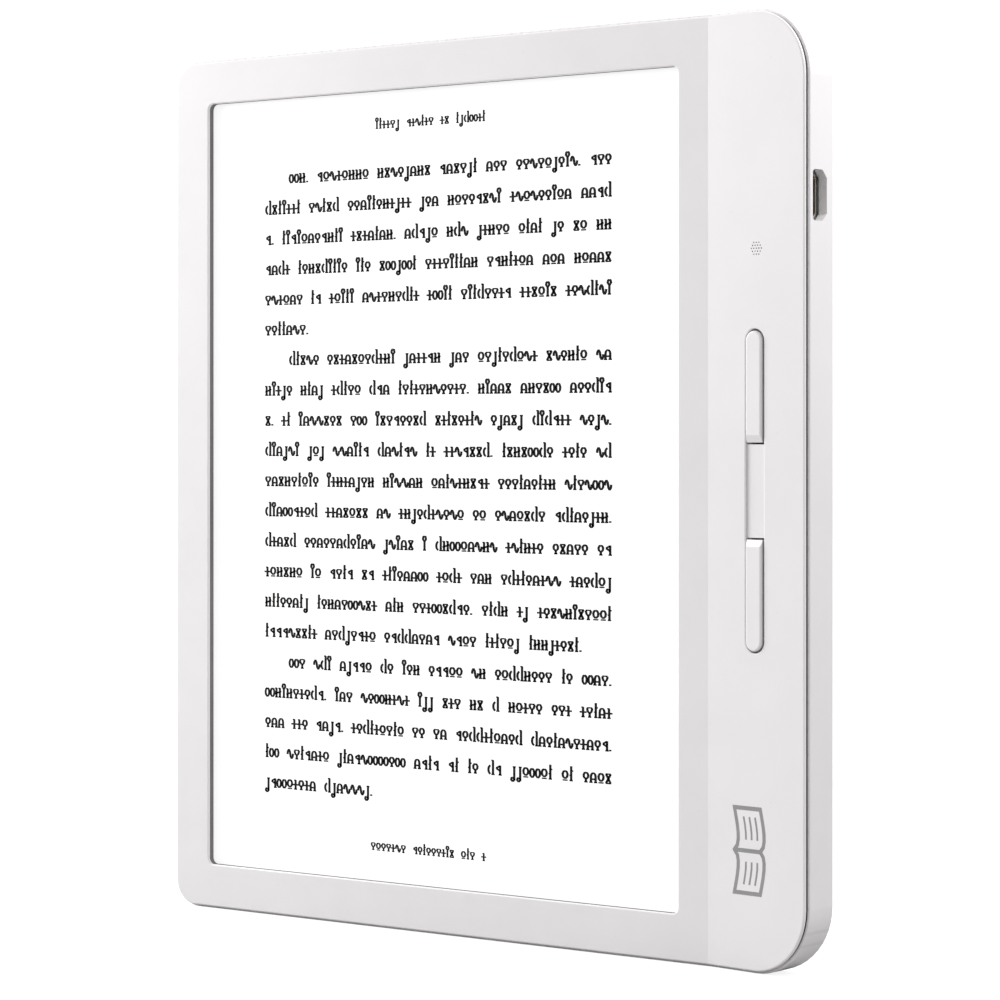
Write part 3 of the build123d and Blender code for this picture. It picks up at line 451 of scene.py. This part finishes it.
def clear(name, colour, roughness):
    """Clear acrylic with faint flow lines and fine polish marks."""
    material, tree, shader, place = start_material(name)
    texture = use_group(tree, groups["grain"], vector=place, grain_size=0.3 * MM)
    lines = use_group(tree, groups["brushed"], vector=place, width=0.4 * MM)
    body = mix_colour(tree, texture["Tone"], scaled(colour, 0.96), colour)
    tree.links.new(body, shader.inputs["Base Color"])
    vary_gloss(tree, shader, texture["Smudge"], roughness, roughness + 0.08)
    shader.inputs["Transmission Weight"].default_value = 0.85
    shader.inputs["IOR"].default_value = 1.49
    bump(tree, shader, lines["Height"], 0.002 * MM)
    return material


def page_film(name):
    """Matt film over the front-lit page: pale grey capsules with a faint tooth and an even glow."""
    material, tree, shader, place = start_material(name)
    texture = use_group(tree, groups["grain"], vector=place, grain_size=0.08 * MM)
    body = mix_colour(tree, texture["Tone"], (0.43, 0.43, 0.428), (0.45, 0.45, 0.448))
    body = layer(tree, body, texture["Height"], 0.03, (0.34, 0.34, 0.335))
    tree.links.new(body, shader.inputs["Base Color"])
    shader.inputs["Emission Color"].default_value = (1.0, 1.0, 1.0, 1.0)
    shader.inputs["Emission Strength"].default_value = page_glow
    vary_gloss(tree, shader, texture["Smudge"], 0.58, 0.68)
    shader.inputs["Specular IOR Level"].default_value = 0.25
    bump(tree, shader, texture["Height"], 0.002 * MM)
    return material


def ink(name, colour, roughness, contrast):
    """Printed ink, or the page's dark pigment: a soft mottle and a slight tooth."""
    material, tree, shader, place = start_material(name)
    texture = use_group(tree, groups["grain"], vector=place, grain_size=0.06 * MM)
    body = mix_colour(tree, texture["Smudge"], scaled(colour, 1 - contrast), scaled(colour, 1 + contrast))
    tree.links.new(body, shader.inputs["Base Color"])
    vary_gloss(tree, shader, texture["Tone"], roughness - 0.05, roughness + 0.05)
    shader.inputs["Specular IOR Level"].default_value = 0.12
    bump(tree, shader, texture["Height"], 0.001 * MM)
    return material


def finishes():
    """The finish of each material slot."""
    return {
        "bezel_plastic": moulded("pearl_white_bezel", shell_white, 0.44, grain=0.16 * MM, contrast=0.013),
        "cover_plastic": moulded("white_cover", scaled(shell_white, 0.985), 0.5, contrast=0.013, crevice=0.3,
                                 dots=(2.1 * MM, 0.42 * MM)),
        "button_plastic": moulded("white_page_buttons", scaled(shell_white, 1.02), 0.36, grain=0.1 * MM,
                                  depth=0.002 * MM, contrast=0.01),
        "bridge_plastic": moulded("white_button_bridge", shell_white, 0.4, grain=0.1 * MM,
                                  depth=0.002 * MM, contrast=0.01),
        "power_key_plastic": moulded("soft_blue_power_key", (0.36, 0.50, 0.66), 0.4, grain=0.1 * MM,
                                     contrast=0.04),
        "seal_rubber": moulded("grey_seal_rubber", (0.14, 0.14, 0.15), 0.72, contrast=0.12, specular=0.3),
        # The gasket is a real part; its dark colour on the display window's wall is painted shade of the
        # recess.
        "gasket_foam": moulded("dark_gasket_foam", (0.19, 0.185, 0.19), 0.85, grain=0.2 * MM, depth=0.02 * MM,
                               contrast=0.12, specular=0.2),
        "display_film": page_film("lit_page_film"),
        "guide_acrylic": clear("light_guide_acrylic", (0.97, 0.98, 0.98), 0.05),
        "led_lens": moulded("milky_led_lens", (0.86, 0.85, 0.80), 0.3, contrast=0.03, crevice=0.3),
        "e_paper_laminate": creased("e_paper_laminate", (0.72, 0.72, 0.69), 0.6, 30 * MM, depth=0.004 * MM),
        "black_tape": creased("black_mounting_tape", (0.03, 0.03, 0.032), 0.62, 9 * MM),
        "polyimide_flex": creased("amber_polyimide", (0.55, 0.23, 0.05), 0.34, 20 * MM, depth=0.008 * MM),
        "connector_nylon": moulded("ivory_connector_nylon", (0.66, 0.6, 0.46), 0.5, contrast=0.05),
        "chip_epoxy": moulded("moulded_chip_epoxy", (0.035, 0.035, 0.038), 0.55, grain=0.07 * MM,
                              contrast=0.2),
        "shield_steel": metal("tinned_shield_steel", (0.68, 0.68, 0.66), 0.34),
        "antenna_ceramic": moulded("antenna_ceramic", (0.62, 0.70, 0.74), 0.3, contrast=0.05),
        "midframe_magnesium": metal("cast_magnesium", (0.46, 0.47, 0.48), 0.5, width=0.4 * MM,
                                    depth=0.01 * MM),
        "screw_steel": metal("screw_steel", (0.6, 0.59, 0.58), 0.3, width=0.04 * MM),
        "pouch_foil": creased("silver_pouch_foil", (0.7, 0.71, 0.72), 0.36, 11 * MM, metallic=1.0),
        "board_laminate": board("green_board_laminate", (0.015, 0.12, 0.05), (0.06, 0.27, 0.09)),
        "wire_insulation": moulded("red_wire_insulation", (0.5, 0.03, 0.02), 0.42, contrast=0.08),
        "port_nickel": metal("nickel_port_shell", (0.70, 0.63, 0.50), 0.3, along=1.0, width=0.05 * MM),
        "tongue_nylon": moulded("black_tongue_nylon", (0.03, 0.03, 0.03), 0.5, contrast=0.2),
        "contact_gold": metal("gold_contacts", (0.83, 0.60, 0.25), 0.26, width=0.03 * MM),
        "switch_nylon": moulded("black_switch_nylon", (0.07, 0.07, 0.07), 0.5, contrast=0.15),
        "plunger_nylon": moulded("pale_plunger_nylon", (0.68, 0.66, 0.6), 0.42, contrast=0.04),
    }


def finish_cad_nodes():
    """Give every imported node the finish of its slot."""
    by_slot = finishes()
    for subpart in frame["record"]["subparts"]:
        mesh = frame["nodes"][subpart["node"]].data
        mesh.materials.clear()
        mesh.materials.append(by_slot[subpart["material_slot"]])


# ---------------------------------------------------------------- page marks

def arc(centre_x, centre_z, radius_x, radius_z, start, end, steps=7):
    """Points along part of an ellipse, in degrees counter-clockwise from +X."""
    angles = [math.radians(start + (end - start) * i / steps) for i in range(steps + 1)]
    return [(centre_x + radius_x * math.cos(a), centre_z + radius_z * math.sin(a)) for a in angles]


def stem(x, low, high, head=True):
    """An upright with a flat serif at its foot, and one at its head."""
    strokes = [[(x, low), (x, high)], bar(x - serif_foot, x + serif_foot, low + serif_rise)]
    if head:
        strokes.append(bar(x - serif_head[0], x + serif_head[1], high - serif_rise))
    return strokes


def ring(centre_x, centre_z, radius_x, radius_z, steps=9):
    """A round stroke whose ends meet at its top."""
    return arc(centre_x, centre_z, radius_x, radius_z, 90, 450, steps)


def dot(x, z):
    """A square dot."""
    return [(x, z - dot_half), (x, z + dot_half)]


def bar(start, end, z):
    """A level stroke."""
    return [(start, z), (end, z)]


def glyph_shapes():
    """Invented signs with the rhythm of book type, as (advance, how often, strokes).

    The x-height is 1. They are shapes such as a goblet, a pennant or an hourglass, so
    that the page looks set and says nothing. The last one is the stop."""
    arch = stem(0.16, 0.0, 0.6, head=False) + stem(0.66, 0.0, 0.6, head=False)
    crossed = stem(0.2, 0.0, 1.0) + stem(0.62, 0.0, 1.0)
    return [
        (0.84, 8, arch + [arc(0.41, 0.58, 0.25, 0.38, 180, 0, 6), dot(0.41, 0.34)]),
        (0.80, 7, [arc(0.4, 0.93, 0.27, 0.5, 180, 360, 7), bar(0.1, 0.7, 0.95)]
         + stem(0.4, 0.0, 0.45, head=False)),
        (0.76, 9, [ring(0.38, 0.66, 0.25, 0.31)] + stem(0.38, 0.0, 0.36, head=False)),
        (0.52, 8, stem(0.26, 0.0, 1.48, head=False) + [bar(0.26, 0.5, 1.0), bar(0.06, 0.26, 0.55)]),
        (0.80, 8, [ring(0.4, 0.6, 0.27, 0.37), bar(0.12, 0.68, 0.04)]),
        (0.76, 5, [[(0.12, 0.03), (0.64, 0.97)], [(0.64, 0.03), (0.12, 0.97)],
                   bar(0.08, 0.68, 0.97), bar(0.08, 0.68, 0.03)]),
        (0.84, 6, [arc(0.26, 0.45, 0.17, 0.5, 180, 0, 5), arc(0.6, 0.55, 0.17, 0.5, 180, 360, 5)]),
        (0.80, 5, stem(0.62, 0.0, 1.0, head=False)
         + [[(0.62, 0.95), (0.16, 0.7)], [(0.16, 0.7), (0.62, 0.42)]]),
        (0.84, 6, crossed + [[(0.02, 0.36), (0.8, 0.66)]]),
        (0.54, 5, stem(0.27, 0.0, 0.96, head=False) + [ring(0.27, 1.22, 0.18, 0.25, 7)]),
        (0.66, 5, [[(0.44, -0.42), (0.44, 1.0)], bar(0.26, 0.62, 0.97), ring(0.27, -0.3, 0.17, 0.19, 7)]),
        (0.84, 6, stem(0.66, 0.0, 1.48) + [arc(0.46, 0.5, 0.32, 0.46, 105, 255, 6)]),
        (1.24, 3, [ring(0.3, 0.5, 0.23, 0.44), ring(0.94, 0.5, 0.23, 0.44), bar(0.53, 0.71, 0.5)]),
        (0.62, 9, stem(0.31, 0.0, 1.0) + [dot(0.06, 0.5), dot(0.56, 0.5)]),
        (0.34, 0, [dot(0.16, 0.08)]),
    ]


def add_stroke(work, path, thick, thin, depth, closed=False):
    """A pen stroke as a prism with mitred bends: uprights come out thick and level runs thin."""
    points = [Vector(p) for p in path]
    sections = []
    for i, point in enumerate(points):
        after = points[(i + 1) % len(points)] if closed or i + 1 < len(points) else None
        before = points[i - 1] if closed or i else None
        out = ((after or point) - (point if after else before)).normalized()
        into = ((point if before else after) - (before or point)).normalized()
        along = (into + out).normalized()
        half = 0.5 * (thin + (thick - thin) * abs(along.y)) / max(0.5, along.dot(out))
        side = Vector((-along.y, along.x)) * half
        left, right = point + side, point - side
        corners = ((left, 0.0), (right, 0.0), (right, -depth), (left, -depth))
        sections.append([work.verts.new((c.x, y, c.y)) for c, y in corners])
    joins = list(zip(sections, sections[1:]))
    if closed:
        joins.append((sections[-1], sections[0]))
    else:
        work.faces.new(sections[0][::-1])
        work.faces.new(sections[-1])
    for low, high in joins:
        for k in range(4):
            work.faces.new((low[k], low[(k + 1) % 4], high[(k + 1) % 4], high[k]))


def finish_strokes(work, mesh):
    """Turn a stroke mesh's faces outwards and store it."""
    bmesh.ops.recalc_face_normals(work, faces=work.faces)
    work.to_mesh(mesh)
    work.free()


def make_word(rng, shapes):
    """A word of glyph numbers, now and then with a stop."""
    letters = rng.choices(word_letters, word_shares)[0]
    word = rng.choices(range(len(shapes)), [share for _, share, _ in shapes], k=letters)
    return word + [len(shapes) - 1] if rng.random() < page_stop_share else word


def word_length(shapes, word, x_height):
    """How far a word runs along its line."""
    return sum(shapes[glyph][0] for glyph in word) * x_height * page_glyph_width


def fill_line(rng, shapes, x_height, width, gap):
    """Random words up to a line's width, and how much of the width they leave."""
    words = [make_word(rng, shapes)]
    left = width - word_length(shapes, words[0], x_height)
    while True:
        word = make_word(rng, shapes)
        needed = gap + word_length(shapes, word, x_height)
        if needed > left + 0.5 * gap:
            return words, left
        words.append(word)
        left -= needed


def best_line(rng, shapes, x_height, width, gap):
    """Out of several tries, the words that come nearest to filling the width."""
    tries = [fill_line(rng, shapes, x_height, width, gap) for _ in range(page_line_tries)]
    return min(tries, key=lambda line: abs(line[1]))


def set_line(marks, shapes, words, gap, start, baseline, x_height):
    """Place one line's glyphs: (x, z, glyph, size) for each."""
    x = start
    for word in words:
        for glyph in word:
            marks.append((x, baseline, glyph, x_height))
            x += word_length(shapes, [glyph], x_height)
        x += gap


def page_layout(shapes, left, right, top, bottom):
    """Every glyph of the page: justified paragraphs, a header and a footer."""
    rng = random.Random(page_seed)
    marks = []
    baseline = top - page_first_baseline
    start, end = left + page_left_margin, right - page_right_margin
    for lines, last_share in page_paragraphs:
        for line in range(lines):
            last = line == lines - 1
            line_start = start + (page_indent if line == 0 else 0.0)
            width = (end - start) * last_share if last else end - line_start
            words, unused = best_line(rng, shapes, page_x_height, width, page_word_gap)
            if last:
                words[-1] = words[-1] + [len(shapes) - 1]
            gap = page_word_gap if last else page_word_gap + unused / max(1, len(words) - 1)
            set_line(marks, shapes, words, gap, line_start, baseline, page_x_height)
            baseline -= page_line_pitch
    small = page_x_height * page_note_scale
    gap = page_word_gap * page_note_scale
    centre = 0.5 * (start + end)
    for (shift, inset, width), edge, side in ((page_header, top, -1), (page_footer, bottom, 1)):
        words, unused = best_line(rng, shapes, small, width, gap)
        line_start = centre + shift - 0.5 * (width - unused)
        set_line(marks, shapes, words, gap, line_start, edge + side * inset, small)
    return marks


def glyph_tree(collection, finish):
    """Geometry nodes: at each point, the glyph that its number names, at its size."""
    tree = bpy.data.node_groups.new("set_type", "GeometryNodeTree")
    for label, kind in (("Geometry", "NodeSocketGeometry"), ("Glyphs", "NodeSocketCollection"),
                        ("Ink", "NodeSocketMaterial"), ("Glyph width", "NodeSocketFloat")):
        tree.interface.new_socket(label, in_out="INPUT", socket_type=kind)
    tree.interface.new_socket("Geometry", in_out="OUTPUT", socket_type="NodeSocketGeometry")
    given = tree.nodes.new("NodeGroupInput").outputs
    glyphs = put(tree, "GeometryNodeCollectionInfo", {"Collection": given["Glyphs"],
                 "Separate Children": True, "Reset Children": True}).outputs[0]
    named = "GeometryNodeInputNamedAttribute"
    number = put(tree, named, {"Name": "glyph"}, data_type="INT").outputs["Attribute"]
    size = put(tree, named, {"Name": "size"}, data_type="FLOAT").outputs["Attribute"]
    wide = math_node(tree, "MULTIPLY", size, given["Glyph width"])
    scale = put(tree, "ShaderNodeCombineXYZ", {"X": wide, "Y": 1.0, "Z": size}).outputs["Vector"]
    placed = put(tree, "GeometryNodeInstanceOnPoints", {"Points": given["Geometry"], "Instance": glyphs,
                 "Pick Instance": True, "Instance Index": number, "Scale": scale}).outputs["Instances"]
    real = put(tree, "GeometryNodeRealizeInstances", {"Geometry": placed}).outputs["Geometry"]
    inputs = {"Geometry": real, "Material": given["Ink"]}
    inked = put(tree, "GeometryNodeSetMaterial", inputs).outputs["Geometry"]
    tree.links.new(inked, tree.nodes.new("NodeGroupOutput").inputs["Geometry"])
    return tree, {"Glyphs": collection, "Ink": finish, "Glyph width": page_glyph_width}


def apply_tree(piece, tree, values):
    """Run a geometry node tree on a piece and keep its result as a plain mesh."""
    modifier = piece.modifiers.new(tree.name, "NODES")
    modifier.node_group = tree
    for item in tree.interface.items_tree:
        if item.item_type == "SOCKET" and item.in_out == "INPUT" and item.name in values:
            modifier[item.identifier] = values[item.name]
    bpy.context.view_layer.update()
    evaluated = piece.evaluated_get(bpy.context.evaluated_depsgraph_get())
    piece.data = bpy.data.meshes.new_from_object(evaluated)
    piece.modifiers.remove(modifier)


def make_page_marks():
    """The rows of invented type that stand on the display film."""
    film_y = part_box("touch_panel")[0].y
    low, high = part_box("display_gasket")
    window = (low.x + gasket_width, high.x - gasket_width, high.z - gasket_width, low.z + gasket_width)
    shapes = glyph_shapes()
    marks = page_layout(shapes, *window)
    collection = bpy.data.collections.new("glyphs")
    for i, (_, _, strokes) in enumerate(shapes):
        work = bmesh.new()
        for path in strokes:
            add_stroke(work, path, pen_thick, pen_thin, ink_height)
        mesh = bpy.data.meshes.new(f"glyph_{i:02d}")
        finish_strokes(work, mesh)
        collection.objects.link(bpy.data.objects.new(mesh.name, mesh))
    mesh = bpy.data.meshes.new("page_marks")
    mesh.from_pydata([(x, film_y - ink_gap, z) for x, z, _, _ in marks], [], [])
    mesh.attributes.new("glyph", "INT", "POINT").data.foreach_set("value", [m[2] for m in marks])
    mesh.attributes.new("size", "FLOAT", "POINT").data.foreach_set("value", [m[3] for m in marks])
    piece = bpy.data.objects.new("page_marks", mesh)
    bpy.context.scene.collection.objects.link(piece)
    apply_tree(piece, *glyph_tree(collection, ink("page_ink", page_ink_colour, 0.7, 0.25)))
    for glyph in list(collection.objects):
        bpy.data.objects.remove(glyph)
    bpy.data.collections.remove(collection)
    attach(piece, "housing")


# ---------------------------------------------------------------- grip mark

def book_curve(way, level):
    """A bowed line across one page of the open book, level up from its foot."""
    half = 0.5 * mark_length
    bow = book_bow * mark_width
    return [(way * half * t, level + bow * math.sin(math.pi * t ** 0.6)) for t in book_points]


def open_book_strokes():
    """An open book: the outline round both bowed pages, then the spine and the rules."""
    low, high = -0.5 * mark_width, book_top * mark_width
    foot = book_curve(-1, low)[:0:-1] + book_curve(1, low)
    head = book_curve(1, high)[:0:-1] + book_curve(-1, high)
    inner = [[(0.0, low), (0.0, high)]]
    for way in (-1, 1):
        for share in book_rules:
            inner.append(book_curve(way, low + share * (high - low))[2:-1])
    return foot + head, inner


def make_grip_mark():
    """A generic open-book mark, read from the grip's side, printed on the sloping grip."""
    bezel = frame["nodes"]["front_bezel"]
    hit, place, normal, _ = bezel.ray_cast(Vector((mark_x, -1.0, mark_z)), Vector((0.0, 1.0, 0.0)))
    if not hit:
        raise ValueError("the grip mark misses the bezel")
    up = Vector((0.0, 0.0, 1.0))
    across = up.cross(normal).normalized()
    outline, (spine, *rules) = open_book_strokes()
    work = bmesh.new()
    add_stroke(work, outline, mark_line, mark_line, mark_height, closed=True)
    add_stroke(work, spine, mark_line, mark_line, mark_spine_share * mark_height)
    for rule in rules:
        add_stroke(work, rule, mark_rule, mark_rule, mark_height)
    for vertex in work.verts:
        along, proud, rise = vertex.co
        vertex.co = place + up * along + across * rise + normal * (mark_lift - proud)
    mesh = bpy.data.meshes.new("grip_mark")
    finish_strokes(work, mesh)
    mesh.materials.append(ink("grip_mark_ink", mark_ink_colour, 0.5, 0.05))
    piece = bpy.data.objects.new("grip_mark", mesh)
    bpy.context.scene.collection.objects.link(piece)
    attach(piece, "housing")


# ---------------------------------------------------------------- studio

def make_floor():
    """A pale floor, seen a little lighter than the light that it bounces."""
    half = 0.5 * floor_size
    mesh = bpy.data.meshes.new("floor")
    corners = [(-half, -half, 0.0), (half, -half, 0.0), (half, half, 0.0), (-half, half, 0.0)]
    mesh.from_pydata(corners, [], [(0, 1, 2, 3)])
    material, tree, shader, place = start_material("floor_white")
    tone = mix_colour(tree, noise(tree, place, 6.0, 4.0), *floor_tones)
    tree.links.new(tone, shader.inputs["Base Color"])
    seen = tree.nodes.new("ShaderNodeLightPath").outputs["Is Camera Ray"]
    tree.links.new(math_node(tree, "MULTIPLY", seen, floor_seen), shader.inputs["Emission Strength"])
    shader.inputs["Emission Color"].default_value = (1.0, 1.0, 1.0, 1.0)
    shader.inputs["Roughness"].default_value = 0.9
    shader.inputs["Specular IOR Level"].default_value = 0.0
    mesh.materials.append(material)
    floor = bpy.data.objects.new("floor", mesh)
    bpy.context.scene.collection.objects.link(floor)


def make_sky():
    """Even ambient light, behind a white backdrop."""
    world = bpy.data.worlds.new("studio")
    bpy.context.scene.world = world
    world.use_nodes = True
    tree = world.node_tree
    seen = tree.nodes.new("ShaderNodeLightPath").outputs["Is Camera Ray"]
    strength = remap(tree, seen, 0.0, 1.0, sky_light, sky_seen)
    background = tree.nodes["Background"]
    background.inputs["Color"].default_value = (1.0, 1.0, 1.0, 1.0)
    tree.links.new(strength, background.inputs["Strength"])


def make_light(name, place, target, size, power):
    """A soft white square light that points at a target."""
    lamp = bpy.data.lights.new(name, "AREA")
    lamp.shape = "SQUARE"
    lamp.size = size
    lamp.energy = power
    light = bpy.data.objects.new(name, lamp)
    light.location = place
    light.rotation_euler = (Vector(target) - Vector(place)).to_track_quat("-Z", "Y").to_euler()
    bpy.context.scene.collection.objects.link(light)


def make_studio():
    """The floor, the ambient light and the two lights."""
    make_floor()
    make_sky()
    make_light("key", key_place, key_target, key_size, key_power)
    make_light("right", right_place, right_target, right_size, right_power)


def make_camera():
    """A long lens, level, from the grip's side of the display."""
    lens = bpy.data.cameras.new("camera")
    lens.lens = camera_lens
    lens.sensor_width = 36.0
    lens.shift_y = camera_shift
    lens.clip_start = 0.01
    camera = bpy.data.objects.new("camera", lens)
    camera.location = camera_place
    camera.rotation_euler = (math.radians(90.0), 0.0, math.radians(camera_turn))
    bpy.context.scene.collection.objects.link(camera)
    bpy.context.scene.camera = camera
    bpy.context.scene.view_settings.view_transform = "Standard"


# ---------------------------------------------------------------- the scene

for leftover in list(bpy.data.objects):
    bpy.data.objects.remove(leftover)

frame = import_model()
groups = {
    "grain": moulded_grain_group(),
    "edge": edge_wear_group(),
    "crevice": painted_gap_shade_group(),
    "dust": dust_group(),
    "brushed": brushed_group(),
    "dots": dot_field_group(),
    "crinkle": crinkle_group(),
}
finish_cad_nodes()
make_page_marks()
make_grip_mark()
make_studio()
make_camera()
